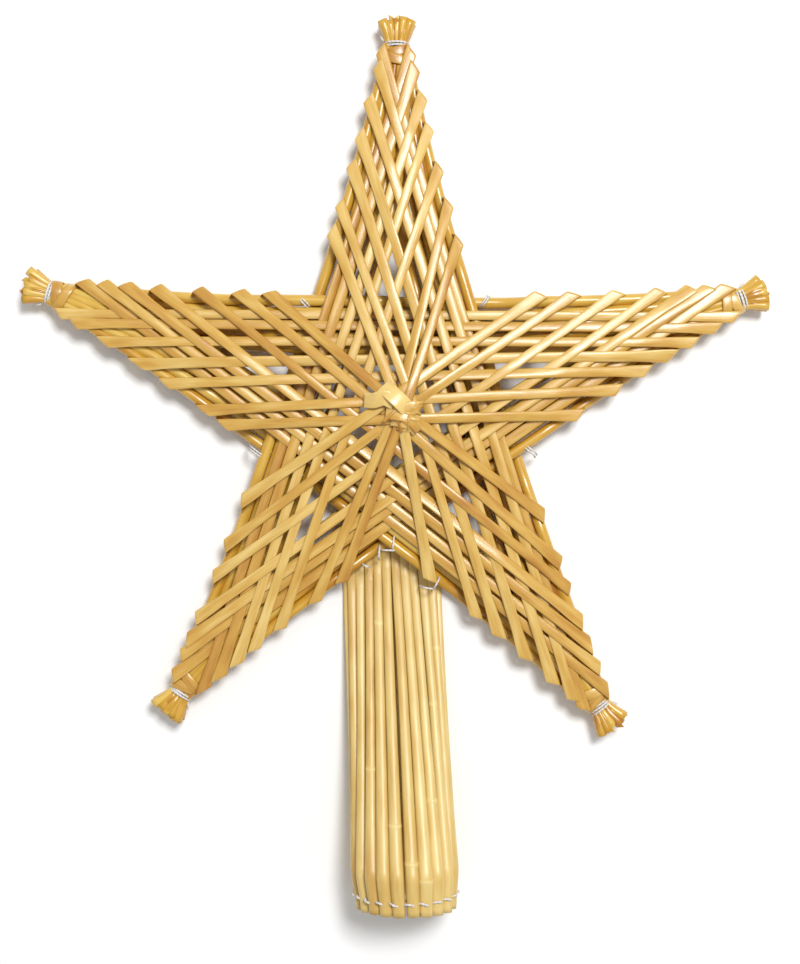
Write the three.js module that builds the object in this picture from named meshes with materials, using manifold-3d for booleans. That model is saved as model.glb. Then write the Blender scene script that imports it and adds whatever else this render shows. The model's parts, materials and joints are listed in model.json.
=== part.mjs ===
// A straw star made to sit on the top of a tree, lying face up. Millimetres, +Z up.
//
// Round straws, bound at the five tips, make an interlaced five-pointed frame. Flattened
// straws are wound over its face from tip to tip, each round nearer the centre than the last
// and each straw lying on those before it, so that the face rises to a knot in the middle.
// A ring of round straws, its upper ends pressed flat and sewn behind the star, is the socket.
import * as THREE from 'three';
import { mergeVertices } from 'three/addons/utils/BufferGeometryUtils.js';
import Module from 'manifold-3d';

// ---- driving dimensions -------------------------------------------------------------------
const GAP = 0.3;                 // clearance between neighbouring pieces
// The five bound tips, counted anticlockwise from the top: bearing in degrees, distance out.
const TIPS = [[89.5, 120.7], [161.6, 120.6], [233.3, 118.6], [304.6, 121.0], [17.2, 121.2]];

const ROD = { radius: 1.85, perBand: 5, pitch: 4.0, lastExtra: 0.6, sides: 6 };
const BOUND = { halfWidth: 1.0, halfHeight: 1.45, pitch: 1.3, radius: 3.9 };   // where it is tied
const TUFT = { length: 8.8, flare: 1.75, rise: 0.7 };
const TIE = { wall: 0.75, width: 2.3, sides: 12 };

// Flattened straw; gap is between one and the next that lies on it.
const STRIP = { width: 4.1, thick: 0.5, gap: 0.14, foldWidth: 0.78 };
const ROUNDS = 7;
const FAMILY_ORDER = [0, 3, 1, 4, 2];   // the winding goes from an arm to the next but one
// Along each arm's two edges: where each round folds over, from the tip.
const EDGE_CCW = [
  [6.4, 13.2, 20.7, 32.7, 42.9, 56.6, 65.8], [7.3, 14.4, 24.6, 37.9, 49.3, 64.7, 72.8],
  [7.2, 13.8, 21.3, 28.9, 39.6, 51.5, 62.0], [6.4, 13.4, 20.8, 29.0, 40.5, 49.6, 66.2],
  [6.6, 13.2, 19.8, 27.3, 41.3, 56.0, 67.0]];
const EDGE_CW = [
  [6.4, 13.2, 20.2, 30.1, 43.7, 56.0, 68.7], [11.5, 18.3, 25.7, 35.7, 49.7, 63.0, 73.3],
  [6.2, 12.6, 19.0, 25.8, 40.3, 51.2, 67.0], [6.6, 13.2, 19.8, 29.5, 41.0, 50.9, 62.0],
  [6.6, 13.2, 21.5, 30.4, 39.7, 51.1, 66.3]];
const PAST_LAST = 8;             // a round beyond the last would fold this much further in
const SLACK = 0.06;              // corners of a taut strip lower than this are left out
const HOOK = 5.0;                // how far a strip's first end is tucked in behind the arm
// How far from the star's middle the last two rounds of each family pass, towards its own arm.
const HUB_PASS = [[1.6, -4.6], [-1.3, -3.9], [3.2, -0.6], [3.4, -2.2], [5.8, 1.8]];

const SOCKET = {
  straws: 21, perPiece: 3, sides: 8,
  rimY: -163, rimX: 4.2,         // the mouth's centre, from the star's centre
  bellyY: -150, waistY: -158.5,  // the widest place, and where the thread pulls it in
  flatY: -51, tuckSlope: 0.75,   // where they lie flat, further out towards the sides
  tuck: 13, endX: -1.0,          // how far they run on behind the frame
  rimRadius: 14.4, bellyRadius: 15.45,   // of the ring of straw centres
  strawRadius: 2.3,
  flatHalfWidth: 1.34, flatHalfHeight: 0.45, flatPitch: 3.0,
};
const TWINE = { wall: 0.55, width: 1.3, sides: 28 };
const KNOT = { at: [3.2, -1.4], length: 13, width: 4.8, thick: 1.5, folds: [-52, 18, 75] };

// Levels, from the surface that the star lies on: the flattened straws behind it, two layers
// of the socket's pressed ends, then the frame's two layers of rods, then the winding.
const PRESSED = 2 * SOCKET.flatHalfHeight;
const FRAME_Z = 2 * PRESSED + 2 * GAP + 2 * ROD.radius + GAP / 2;
const FACE_Z = FRAME_Z + 2 * ROD.radius + GAP / 2;

// ---- small helpers ------------------------------------------------------------------------
const V = (x, y, z = 0) => new THREE.Vector3(x, y, z);
const UP = V(0, 0, 1);
const lerp = THREE.MathUtils.lerp;
const rad = THREE.MathUtils.degToRad;
const wrap5 = (i) => ((i % 5) + 5) % 5;
const side = (direction) => V(-direction.y, direction.x, 0);
const mix = (a, b, t) => a.clone().lerp(b, t);

const wasm = await Module();
wasm.setup();

/** A BufferGeometry with merged corners, as a manifold-3d solid. */
function toSolid(geometry) {
  const bare = geometry.index ? geometry.clone() : geometry;
  for (const name of ['normal', 'uv']) bare.deleteAttribute(name);
  const merged = mergeVertices(bare, 1e-4);
  return new wasm.Manifold(new wasm.Mesh({
    numProp: 3,
    vertProperties: new Float32Array(merged.attributes.position.array),
    triVerts: new Uint32Array(merged.index.array),
  }));
}

/** A manifold-3d solid as a flat-shaded BufferGeometry. */
function toGeometry(solid) {
  const mesh = solid.getMesh();
  const geometry = new THREE.BufferGeometry();
  geometry.setAttribute('position', new THREE.BufferAttribute(mesh.vertProperties, 3));
  geometry.setIndex(new THREE.BufferAttribute(mesh.triVerts, 1));
  geometry.computeVertexNormals();
  return geometry;
}

function joined(geometries) {
  return toGeometry(geometries.map(toSolid).reduce((all, one) => all.add(one)));
}

/** A closed solid through rings of corners, all with the same number of them. */
function skin(rings) {
  const n = rings[0].length;
  const index = [];
  for (let r = 0; r + 1 < rings.length; r += 1) {
    for (let k = 0; k < n; k += 1) {
      const [a, b] = [r * n + k, r * n + ((k + 1) % n)];
      index.push(a, b, b + n, a, b + n, a + n);
    }
  }
  const last = (rings.length - 1) * n;
  for (let k = 1; k + 1 < n; k += 1) {
    index.push(0, k + 1, k, last, last + k, last + k + 1);
  }
  const geometry = new THREE.BufferGeometry().setFromPoints(rings.flat());
  geometry.setIndex(index);
  return geometry;
}

/** An oval ring of corners about a centre, in the plane of the two half-axis vectors. */
function oval(centre, halfA, halfB, sides, turn = 0) {
  return Array.from({ length: sides }, (_, k) => {
    const angle = turn + (2 * Math.PI * k) / sides;
    return centre.clone().addScaledVector(halfA, Math.cos(angle)).addScaledVector(halfB, Math.sin(angle));
  });
}

/** A closed band around an oval: the shape of a few turns of thread laid side by side. */
function hoop(centre, along, across, up, reach, wall, width, sides) {
  const rings = [];
  for (let k = 0; k < sides; k += 1) {
    const angle = (2 * Math.PI * (k + 0.5)) / sides;
    const at = (grow, shift) => centre.clone()
      .addScaledVector(across, (reach[0] + grow) * Math.cos(angle))
      .addScaledVector(up, (reach[1] + grow) * Math.sin(angle))
      .addScaledVector(along, shift);
    rings.push([at(0, -width / 2), at(0, width / 2), at(wall, width / 2), at(wall, -width / 2)]);
  }
  const index = [];
  for (let k = 0; k < sides; k += 1) {
    for (let c = 0; c < 4; c += 1) {
      const [a, b] = [k * 4 + c, k * 4 + ((c + 1) % 4)];
      const next = (((k + 1) % sides) - k) * 4;
      index.push(a, b, b + next, a, b + next, a + next);
    }
  }
  const geometry = new THREE.BufferGeometry().setFromPoints(rings.flat());
  geometry.setIndex(index);
  return geometry;
}

// ---- the star's lines ---------------------------------------------------------------------
const tips = TIPS.map(([bearing, reach]) => V(
  reach * Math.cos(rad(bearing)), reach * Math.sin(rad(bearing))));
const outward = tips.map((tip) => tip.clone().normalize());

/** One edge of an arm: from its tip towards the next tip but one, and which way is outside. */
function edgeOf(arm, turn) {
  const along = tips[wrap5(arm + 2 * turn)].clone().sub(tips[arm]).normalize();
  return { from: tips[arm], along, out: side(along).multiplyScalar(-turn) };
}

/** How far a rod has fanned out of its bundle, from 0 at a tie to 1 at mid-length. */
const fan = (t) => 1 - Math.abs(1 - 2 * t) ** 3;

/** One rod of a band, as sections: centre, half width, half height, sideways direction. */
function rodSections(band, k) {
  const [a, b] = [band, wrap5(band + 2)];
  const line = tips[b].clone().sub(tips[a]);
  const length = line.length();
  const along = line.normalize();
  const inward = side(along);
  const depth = ROD.radius + k * ROD.pitch + (k === ROD.perBand - 1 ? ROD.lastExtra : 0);
  const slot = (k - (ROD.perBand - 1) / 2) * BOUND.pitch;
  const boundHeight = BOUND.halfHeight * Math.sqrt(1 - (slot / BOUND.radius) ** 2);
  // Over at its first tip, then under, over and under again.
  const levels = [[0.12, 1], [0.268, 1], [0.35, -1], [0.478, -1]];
  const stations = [...levels, ...levels.map(([t, s]) => [1 - t, -s]).reverse()];
  const ends = [[a, 1], [b, -1]].map(([tip, sign]) => {
    const across = side(outward[tip]).multiplyScalar(-sign);
    const level = sign * (GAP / 2 + boundHeight);
    const tied = tips[tip].clone().addScaledVector(across, slot).setZ(FRAME_Z + level);
    const end = tips[tip].clone().addScaledVector(outward[tip], TUFT.length)
      .addScaledVector(across, slot * TUFT.flare).setZ(FRAME_Z + level + sign * TUFT.rise);
    const make = (centre) => ({
      centre, halfWidth: BOUND.halfWidth, halfHeight: boundHeight, across });
    return [make(end), make(tied)];
  });
  const middle = stations.map(([t, sign]) => {
    const f = fan(t);
    const swell = Math.min(1, 3 * f);
    const halfHeight = lerp(boundHeight, ROD.radius, swell);
    return {
      centre: tips[a].clone().addScaledVector(along, t * length)
        .addScaledVector(inward, lerp(slot, depth, f))
        .setZ(FRAME_Z + sign * (GAP / 2 + halfHeight)),
      halfWidth: lerp(BOUND.halfWidth, ROD.radius, swell),
      halfHeight,
      across: inward,
    };
  });
  return [...ends[0], ...middle, ...ends[1].reverse()];
}

const rods = tips.map((_, band) => Array.from(
  { length: ROD.perBand }, (__, k) => rodSections(band, k)));

function rodGeometry(sections) {
  return skin(sections.map((s) => oval(
    s.centre, s.across.clone().multiplyScalar(s.halfWidth), V(0, 0, s.halfHeight), ROD.sides)));
}

/** How far the rods stand out past an edge's line, between two distances along it. */
function reachPast(edge, from, to) {
  let reach = -Infinity;
  for (const sections of rods.flat()) {
    for (let i = 0; i + 1 < sections.length; i += 1) {
      for (let t = 0; t <= 1; t += 0.1) {
        const p = mix(sections[i].centre, sections[i + 1].centre, t).sub(edge.from);
        const s = p.dot(edge.along);
        if (s < from || s > to) continue;
        const half = lerp(sections[i].halfWidth, sections[i + 1].halfWidth, t);
        reach = Math.max(reach, p.dot(edge.out) + half);
      }
    }
  }
  return reach;
}

// ---- the winding --------------------------------------------------------------------------
/** The heights of what has been wound so far, on a square grid over the star. */
class Heights {
  constructor(size, step, base) {
    Object.assign(this, { size, step, n: Math.ceil((2 * size) / step) });
    this.cells = new Float32Array(this.n * this.n).fill(base);
  }

  at(p) {
    const cell = (v) => THREE.MathUtils.clamp(Math.round((v + this.size) / this.step), 0, this.n - 1);
    return cell(p.y) * this.n + cell(p.x);
  }

  raise(p, z) {
    const i = this.at(p);
    this.cells[i] = Math.max(this.cells[i], z);
  }
}

/** The taut line over the supports: the corners of their least concave cover. */
function taut(samples) {
  const hull = [];
  for (const p of samples) {
    while (hull.length > 1) {
      const [a, b] = hull.slice(-2);
      if ((b.z - a.z) * (p.s - a.s) > (p.z - a.z) * (b.s - a.s)) break;
      hull.pop();
    }
    hull.push(p);
  }
  for (let least = 0; least < SLACK;) {
    const bends = hull.slice(1, -1).map((_, i) => bend(hull, i + 1));
    least = Math.min(...bends);
    if (least < SLACK) hull.splice(bends.indexOf(least) + 1, 1);
  }
  return hull;
}

/** How far a corner of the line stands above the line without it. */
function bend(hull, i) {
  const [a, p, b] = hull.slice(i - 1, i + 2);
  return p.z - lerp(a.z, b.z, (p.s - a.s) / (b.s - a.s));
}

/** Where a round folds over an edge. */
function foldAt(arm, turn, round) {
  const edge = edgeOf(arm, turn);
  const places = (turn === 1 ? EDGE_CCW : EDGE_CW)[arm];
  const s = round < ROUNDS ? places[round] : places.at(-1) + PAST_LAST;
  const half = STRIP.width;
  const stand = Math.max(0, reachPast(edge, s - half, s + half)) + GAP + STRIP.thick / 2;
  const point = edge.from.clone().addScaledVector(edge.along, s).addScaledVector(edge.out, stand);
  return { point, edge };
}

/** The half width, laid along an edge, of a strip that meets it in this direction. */
function slantedHalf(edge, direction, like) {
  const sine = Math.abs(edge.along.x * direction.y - edge.along.y * direction.x);
  const half = edge.along.clone().multiplyScalar(STRIP.foldWidth * STRIP.width / 2 / Math.max(sine, 0.35));
  return half.dot(like) < 0 ? half.negate() : half;
}

/** One flattened straw: a tucked end, its run over the face, a fold, and its way back. */
function wrapStraw(family, round, heights) {
  const start = foldAt(wrap5(family + 1), 1, round);
  const finish = foldAt(wrap5(family - 1), -1, round);
  const nextRound = family === FAMILY_ORDER.at(-1) ? round + 1 : round;
  const next = foldAt(wrap5(family - 1), 1, nextRound);
  const lastRound = family === FAMILY_ORDER[0] ? Math.max(round - 1, 0) : round;
  const before = foldAt(wrap5(family + 1), -1, lastRound);
  const sense = finish.point.clone().sub(start.point).normalize();
  const pass = HUB_PASS[family][round - ROUNDS + HUB_PASS[family].length];
  const middle = pass === undefined ? mix(start.point, finish.point, 0.5)
    : outward[family].clone().multiplyScalar(pass).addScaledVector(sense, V(...KNOT.at).dot(sense));
  const legs = [[start.point, middle], [middle, finish.point]];
  const halfLength = legs[0][0].distanceTo(legs[0][1]);
  const across = side(sense);

  const samples = [];
  for (const [leg, [from, to]] of legs.entries()) {
    const length = from.distanceTo(to);
    const steps = Math.ceil(length);
    for (let i = leg; i <= steps; i += 1) {
      const p = mix(from, to, i / steps);
      let z = FACE_Z + GAP - STRIP.gap;
      for (let w = -0.55; w <= 0.56; w += 0.1) {
        const q = p.clone().addScaledVector(across, w * STRIP.width);
        z = Math.max(z, heights.cells[heights.at(q)]);
      }
      samples.push({ s: leg * halfLength + (i / steps) * length, z: z + STRIP.gap, p });
    }
  }
  const run = taut(samples);
  raiseUnder(run, across, heights);

  const half = STRIP.thick / 2;
  const back = (fold, towards) => towards.point.clone().sub(fold.point).normalize();
  const corner = (fold, z, rise, direction) => ({
    centre: fold.point.clone().setZ(z),
    width: slantedHalf(fold.edge, direction, across),
    thick: fold.edge.out.clone().multiplyScalar(half).setZ(rise * half) });
  const flat = (point, z, width) => ({ centre: point.clone().setZ(z), width, thick: V(0, 0, half) });
  const [backIn, backOut] = [back(start, before), back(finish, next)];
  const hook = Math.min(HOOK, 0.28 * start.point.distanceTo(before.point));
  const gapTo = finish.point.distanceTo(next.point);
  const span = Math.max(0.6 * gapTo, gapTo - HOOK - 2 * STRIP.thick);
  const backWidth = (direction) => {
    const w = side(direction).multiplyScalar(STRIP.width / 2);
    return w.dot(across) < 0 ? w.negate() : w;
  };
  const below = (section) => ({ ...section, thick: section.thick.clone().negate() });
  const sections = [
    below(flat(start.point.clone().addScaledVector(backIn, hook), half, backWidth(backIn))),
    corner(start, half, -1, backIn),
    corner(start, run[0].z + half, 1, sense),
    ...run.slice(1, -1).map(({ p, z }) => flat(p, z + half, across.clone().multiplyScalar(STRIP.width / 2))),
    corner(finish, run.at(-1).z + half, 1, sense),
    corner(finish, half, -1, backOut),
    below(flat(finish.point.clone().addScaledVector(backOut, span), half, backWidth(backOut))),
  ];
  return skin(sections.map(({ centre, width, thick }) => [[-1, -1], [1, -1], [1, 1], [-1, 1]].map(
    ([w, t]) => centre.clone().addScaledVector(width, w).addScaledVector(thick, t))));
}

/** Marks a strip's top in the heights, from its taut run. */
function raiseUnder(run, across, heights) {
  for (let i = 0; i + 1 < run.length; i += 1) {
    const [a, b] = [run[i], run[i + 1]];
    const steps = Math.ceil((b.s - a.s) / (heights.step * 0.7));
    for (let k = 0; k <= steps; k += 1) {
      const t = k / steps;
      for (let w = -0.57; w <= 0.571; w += 0.05) {
        const q = mix(a.p, b.p, t).addScaledVector(across, w * STRIP.width);
        heights.raise(q, lerp(a.z, b.z, t) + STRIP.thick);
      }
    }
  }
}

// ---- the socket ---------------------------------------------------------------------------
/** The socket leans to one side: where its middle is at a distance down it. */
const leanAt = (y) => THREE.MathUtils.mapLinear(
  y, SOCKET.rimY, SOCKET.flatY, SOCKET.rimX, SOCKET.endX);

/** Place and section of one of the socket's straws at one station: how flat, how wide, how far on. */
function socketSection(i, station) {
  const n = SOCKET.straws;
  const third = (i % SOCKET.perPiece) - (SOCKET.perPiece - 1) / 2;
  const close = -0.03 * third;                       // straws of one piece stand a little closer
  const round = (i - (SOCKET.perPiece - 1) / 2 + close + n) % n;
  const place = round > 0.75 * n ? round - n : round;   // counted from the middle of the back
  const bearing = -Math.PI / 2 + (2 * Math.PI * place) / n;
  const lower = Math.sin(bearing) < 0;
  const layer = lower ? place : n / 2 - place;
  const flatX = layer * SOCKET.flatPitch;
  const flatY = SOCKET.flatY - SOCKET.tuckSlope * Math.abs(flatX);
  const [t, ring, shift] = station;
  const actualY = lerp(SOCKET.bellyY, flatY, t) + shift;
  const lean = leanAt(actualY);
  const tight = ring / SOCKET.bellyRadius;
  const slim = 1 - (0.35 + 0.6 * Math.cos(bearing) ** 2) * t * (1 - t);   // pressed together
  const eighth = (2 * Math.PI) / SOCKET.sides;
  const ringZ = SOCKET.bellyRadius + SOCKET.strawRadius;
  const flatZ = lower ? SOCKET.flatHalfHeight : 3 * SOCKET.flatHalfHeight + GAP;
  return {
    centre: V(
      lean + lerp(ring * Math.cos(bearing), flatX, t), actualY,
      lerp(ringZ + ring * Math.sin(bearing), flatZ, t)),
    half: [
      lerp(SOCKET.strawRadius * tight, SOCKET.flatHalfWidth, t) * slim,
      lerp(SOCKET.strawRadius * tight, SOCKET.flatHalfHeight, t) * (t < 1 ? slim : 1)],
    turn: lerp(bearing, Math.round(bearing / eighth) * eighth, t),
  };
}

function socketStraw(i) {
  const { rimRadius, bellyRadius } = SOCKET;
  const stations = [
    [0, rimRadius, SOCKET.rimY - SOCKET.bellyY], [0, bellyRadius, 0],
    [0.5, bellyRadius, 0], [1, bellyRadius, 0], [1, bellyRadius, SOCKET.tuck]];
  const grow = 1 / Math.cos(Math.PI / SOCKET.sides);
  return skin(stations.map((station) => {
    const { centre, half, turn } = socketSection(i, station);
    const [a, b] = half;
    return Array.from({ length: SOCKET.sides }, (_, k) => {
      const angle = turn - (2 * Math.PI * (k + 0.5)) / SOCKET.sides;
      return V(centre.x + a * grow * Math.cos(angle), centre.y, centre.z + b * grow * Math.sin(angle));
    });
  }));
}

// ---- the small pieces ---------------------------------------------------------------------
function tipTie(tip) {
  const reach = [
    BOUND.radius + 2 * GAP,
    2 * BOUND.halfHeight + GAP / 2 + 2 * GAP];
  const grow = 1 / Math.cos(Math.PI / TIE.sides);
  return hoop(
    tips[tip].clone().setZ(FRAME_Z), outward[tip], side(outward[tip]), UP,
    reach.map((r) => r * grow), TIE.wall, TIE.width, TIE.sides);
}

function rimTwine() {
  const t = (SOCKET.waistY - SOCKET.rimY) / (SOCKET.bellyY - SOCKET.rimY);
  const ring = lerp(SOCKET.rimRadius, SOCKET.bellyRadius, t);
  const grow = 1 / Math.cos(Math.PI / SOCKET.sides);
  const reach = ring + SOCKET.strawRadius * grow + 0.05;
  const centre = V(leanAt(SOCKET.waistY), SOCKET.waistY, SOCKET.bellyRadius + SOCKET.strawRadius);
  return hoop(centre, V(0, 1, 0), V(-1, 0, 0), UP, [reach, reach], TWINE.wall, TWINE.width, TWINE.sides);
}

/** The folded ends in the middle of the face, laid one on another. */
function hubKnot(heights) {
  const centre = V(...KNOT.at);
  let z = 0;
  for (let x = -KNOT.length / 2; x <= KNOT.length / 2; x += 0.5) {
    for (let y = -KNOT.length / 2; y <= KNOT.length / 2; y += 0.5) {
      z = Math.max(z, heights.cells[heights.at(V(centre.x + x, centre.y + y))]);
    }
  }
  return joined(KNOT.folds.map((bearing, layer) => {
    const geometry = new THREE.BoxGeometry(KNOT.length - 2 * layer, KNOT.width, KNOT.thick);
    geometry.rotateZ(rad(bearing));
    const rise = z + GAP + KNOT.thick / 2 + layer * (KNOT.thick - 0.1);
    return geometry.translate(centre.x, centre.y, rise);
  }));
}

// ---- materials ----------------------------------------------------------------------------
const material = (color, roughness) => new THREE.MeshStandardMaterial({ color, roughness, metalness: 0 });
const frameStraw = material('#d9ad3d', 0.5);
const flatStraw = material('#dcb766', 0.42);
const socketMaterial = material('#e0c583', 0.48);
const thread = material('#ecebe6', 0.8);

// ---- the whole ----------------------------------------------------------------------------
const star = new THREE.Group();

function place(name, geometry, look) {
  const mesh = new THREE.Mesh(geometry, look);
  mesh.name = name;
  star.add(mesh);
}

rods.forEach((band, i) => place(`frame_band_${i + 1}`, joined(band.map(rodGeometry)), frameStraw));
tips.forEach((_, i) => place(`tip_tie_${i + 1}`, tipTie(i), thread));

const heights = new Heights(140, 0.5, FACE_Z);
for (let round = 0; round < ROUNDS; round += 1) {
  for (const family of FAMILY_ORDER) {
    place(`wrap_straw_${family + 1}_${round + 1}`, wrapStraw(family, round, heights), flatStraw);
  }
}
place('hub_knot', hubKnot(heights), flatStraw);

for (let piece = 0; piece < SOCKET.straws / SOCKET.perPiece; piece += 1) {
  const straws = Array.from({ length: SOCKET.perPiece }, (_, k) => piece * SOCKET.perPiece + k);
  place(`socket_straws_${piece + 1}`, joined(straws.map(socketStraw)), socketMaterial);
}
place('rim_twine', rimTwine(), thread);

// The origin is under the middle of the whole, on the surface that it lies on.
const bounds = new THREE.Box3().setFromObject(star);
const centre = bounds.getCenter(V(0, 0));
star.position.set(-centre.x, -centre.y, -bounds.min.z);

export default star;
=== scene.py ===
# %% [markdown]
# # A straw star for the top of a tree
#
# The real star is made of cereal straw and white thread. Round straws, bound at five tips, make a woven frame. Straws pressed
# flat are wound over its face, and a ring of round straws sewn behind it is the socket. This lesson makes each of those in
# turn. It starts by loading the star's plain solids, which fix every size and place, and reads the main measures off them.

import json
import math

import bpy
import numpy as np
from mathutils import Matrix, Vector

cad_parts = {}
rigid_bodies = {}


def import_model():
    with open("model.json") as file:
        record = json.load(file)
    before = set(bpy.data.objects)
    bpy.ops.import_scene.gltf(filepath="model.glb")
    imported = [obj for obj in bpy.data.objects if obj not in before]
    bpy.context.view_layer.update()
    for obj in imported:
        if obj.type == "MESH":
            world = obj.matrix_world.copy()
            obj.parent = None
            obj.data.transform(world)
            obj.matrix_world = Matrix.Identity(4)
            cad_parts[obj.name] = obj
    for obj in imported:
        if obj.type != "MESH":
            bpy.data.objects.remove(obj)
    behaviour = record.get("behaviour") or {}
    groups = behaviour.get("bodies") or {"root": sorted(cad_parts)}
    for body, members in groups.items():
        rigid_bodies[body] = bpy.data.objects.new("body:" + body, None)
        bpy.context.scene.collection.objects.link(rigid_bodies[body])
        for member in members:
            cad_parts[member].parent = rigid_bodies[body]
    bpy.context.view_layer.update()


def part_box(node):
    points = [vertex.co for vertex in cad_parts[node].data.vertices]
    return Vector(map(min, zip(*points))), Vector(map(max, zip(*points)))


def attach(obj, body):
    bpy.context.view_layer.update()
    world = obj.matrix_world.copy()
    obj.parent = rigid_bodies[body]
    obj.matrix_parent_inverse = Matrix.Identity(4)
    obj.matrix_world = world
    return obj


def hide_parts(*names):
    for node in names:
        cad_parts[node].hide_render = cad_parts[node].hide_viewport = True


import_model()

MM = 0.001


def middle(node):
    low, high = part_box(node)
    return (np.array(low) + np.array(high)) / 2


tips = [middle(f"tip_tie_{i}") for i in range(1, 6)]
centre = sum(tips) / 5
outward = [(tip - centre) / np.linalg.norm(tip - centre) for tip in tips]
frame_z = tips[0][2]
print("tips are", [round(float(np.linalg.norm(t - centre)) * 1000, 1) for t in tips], "mm out,",
      "the frame is at", round(frame_z * 1000, 2), "mm")

# %% [markdown]
# ## Measures
#
# Straw comes in the thickness that the field gave it, so a maker sorts it, and small differences stay. The sizes here are
# those of the solids, in metres, and a fixed seed gives each straw its own small differences, the same ones on every run.
# A few straws fold over nearer to the tips than the solids do, which need more room there.

# %% Driving dimensions
rng = np.random.default_rng(12)

ROD_RADIUS = 1.8 * MM          # a round frame straw
RODS = 5                       # in each of the frame's five bands
ROD_PITCH = 4.0 * MM
LAST_EXTRA = 0.6 * MM          # the innermost rod stands a little further in
BOUND_PITCH = 1.3 * MM         # between straws where they are tied
BOUND_RADIUS = 3.9 * MM        # of the tied bundle
LAYER = 2.0 * MM               # the frame's two layers are this far above and below its middle

STRIP_WIDTH = 4.1 * MM         # a straw pressed flat
STRIP_THICK = 0.55 * MM
LAY_GAP = 0.06 * MM            # air between one strip and the next on it
ROUNDS = 7
FAMILY_ORDER = (0, 3, 1, 4, 2)  # the winding goes from an arm to the next but one
# Where each round folds over each arm's two edges, in mm from the tip. The winder closes up at the tips.
EDGE_CCW = ((3.9, 9.2, 20.7, 32.7, 42.9, 56.6, 65.8), (7.3, 13.2, 24.6, 37.9, 49.3, 64.7, 72.8),
            (7.2, 13.8, 21.3, 28.9, 39.6, 54.2, 65.3), (4.8, 12.6, 20.8, 29.0, 40.5, 49.6, 66.2),
            (5.0, 11.3, 17.2, 27.3, 41.3, 56.0, 67.0))
EDGE_CW = ((4.1, 9.6, 19.5, 30.1, 43.7, 56.0, 68.7), (11.5, 18.3, 25.7, 35.7, 49.7, 63.0, 73.3),
           (5.0, 12.4, 17.8, 25.6, 40.3, 51.2, 67.0), (4.2, 9.0, 17.5, 29.5, 41.0, 50.9, 70.5),
           (5.3, 12.7, 21.5, 30.4, 39.7, 51.1, 66.3))
# How far from the star's middle the last two rounds of each family pass, towards its own arm, in mm.
HUB_PASS = ((1.6, -4.6), (-1.3, -3.9), (3.2, -0.6), (3.4, -2.2), (5.8, 1.8))

HUB_AT = np.array([3.2, -1.4, 0.0])   # the knot, from the star's middle, in mm
face_z = frame_z + LAYER + 1.85 * MM


# %% [markdown]
# ## Plane geometry of the star
#
# Each arm has two edges, which run from its tip towards the two tips opposite. Everything on the star is placed along those
# edges, so a small class for one edge keeps the rest short.

# %% Edges and directions
def side(v):
    """The level direction to the left of v."""
    return np.array([-v[1], v[0], 0.0])


def unit(v):
    return v / np.linalg.norm(v)


def cross2(a, b):
    return a[0] * b[1] - a[1] * b[0]


def flat(v, z=0.0):
    return np.array([v[0], v[1], z])


class Edge:
    """One edge of an arm: turn is 1 for its anticlockwise side and -1 for the other."""

    def __init__(self, arm, turn):
        self.arm, self.turn = arm, turn
        self.start = flat(tips[arm])
        self.along = unit(flat(tips[(arm + 2 * turn) % 5]) - self.start)
        self.out = -turn * side(self.along)

    def at(self, distance, stand=0.0):
        return self.start + self.along * distance + self.out * stand


edges = {(arm, turn): Edge(arm, turn) for arm in range(5) for turn in (1, -1)}


# %% [markdown]
# ## Meshes and their attributes
#
# Straw has a grain that runs along it, so its material needs to know, at every point, how far along and how far across the
# straw it is. Each mesh stores that as an attribute, "grain", in millimetres, and a second one, "tone", with one random
# number for each straw. Attributes survive Geometry Nodes and joining, where generated coordinates would not.

# %% Mesh helpers
def mesh_object(name, verts, faces=(), edges_=(), **attributes):
    """A mesh object at the origin, with float or vector attributes on its points."""
    mesh = bpy.data.meshes.new(name)
    mesh.from_pydata([tuple(v) for v in verts], [tuple(e) for e in edges_], [tuple(f) for f in faces])
    for key, values in attributes.items():
        values = np.asarray(values, dtype=np.float32)
        kind = "FLOAT" if values.ndim == 1 else "FLOAT_VECTOR"
        layer = mesh.attributes.new(key, kind, "POINT")
        layer.data.foreach_set("value" if kind == "FLOAT" else "vector", values.ravel())
    obj = bpy.data.objects.new(name, mesh)
    bpy.context.scene.collection.objects.link(obj)
    return obj


def baked(obj, name):
    """A plain mesh object with obj's modifiers applied, in obj's place."""
    graph = bpy.context.evaluated_depsgraph_get()
    mesh = bpy.data.meshes.new_from_object(obj.evaluated_get(graph), depsgraph=graph)
    old = obj.data
    bpy.data.objects.remove(obj)
    bpy.data.meshes.remove(old)
    mesh.name = name
    result = bpy.data.objects.new(name, mesh)
    bpy.context.scene.collection.objects.link(result)
    return result


# %% [markdown]
# ## Node trees as functions
#
# A Geometry Nodes tree takes a thing and gives it back changed. Two trees make nearly all of the star. One turns a thin
# path into a round straw. The other turns a flat sheet into a pressed straw with two walls. Their sizes are named inputs.

# %% Small helpers for node trees
def new_tree(name, kind, inputs=(), outputs=()):
    tree = bpy.data.node_groups.new(name, kind)
    for label, socket, default in inputs:
        made = tree.interface.new_socket(label, in_out="INPUT", socket_type=socket)
        if default is not None:
            made.default_value = default
    for label, socket in outputs:
        tree.interface.new_socket(label, in_out="OUTPUT", socket_type=socket)
    return tree, tree.nodes.new("NodeGroupInput"), tree.nodes.new("NodeGroupOutput")


def add(tree, kind, links=None, **settings):
    """A node with its settings, and its inputs linked or set, by name or by number."""
    node = tree.nodes.new(kind)
    for key, value in settings.items():
        setattr(node, key, value)
    for key, value in (links or {}).items():
        socket = node.inputs[key]
        if isinstance(value, bpy.types.NodeSocket):
            tree.links.new(value, socket)
        else:
            socket.default_value = value
    return node


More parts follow.
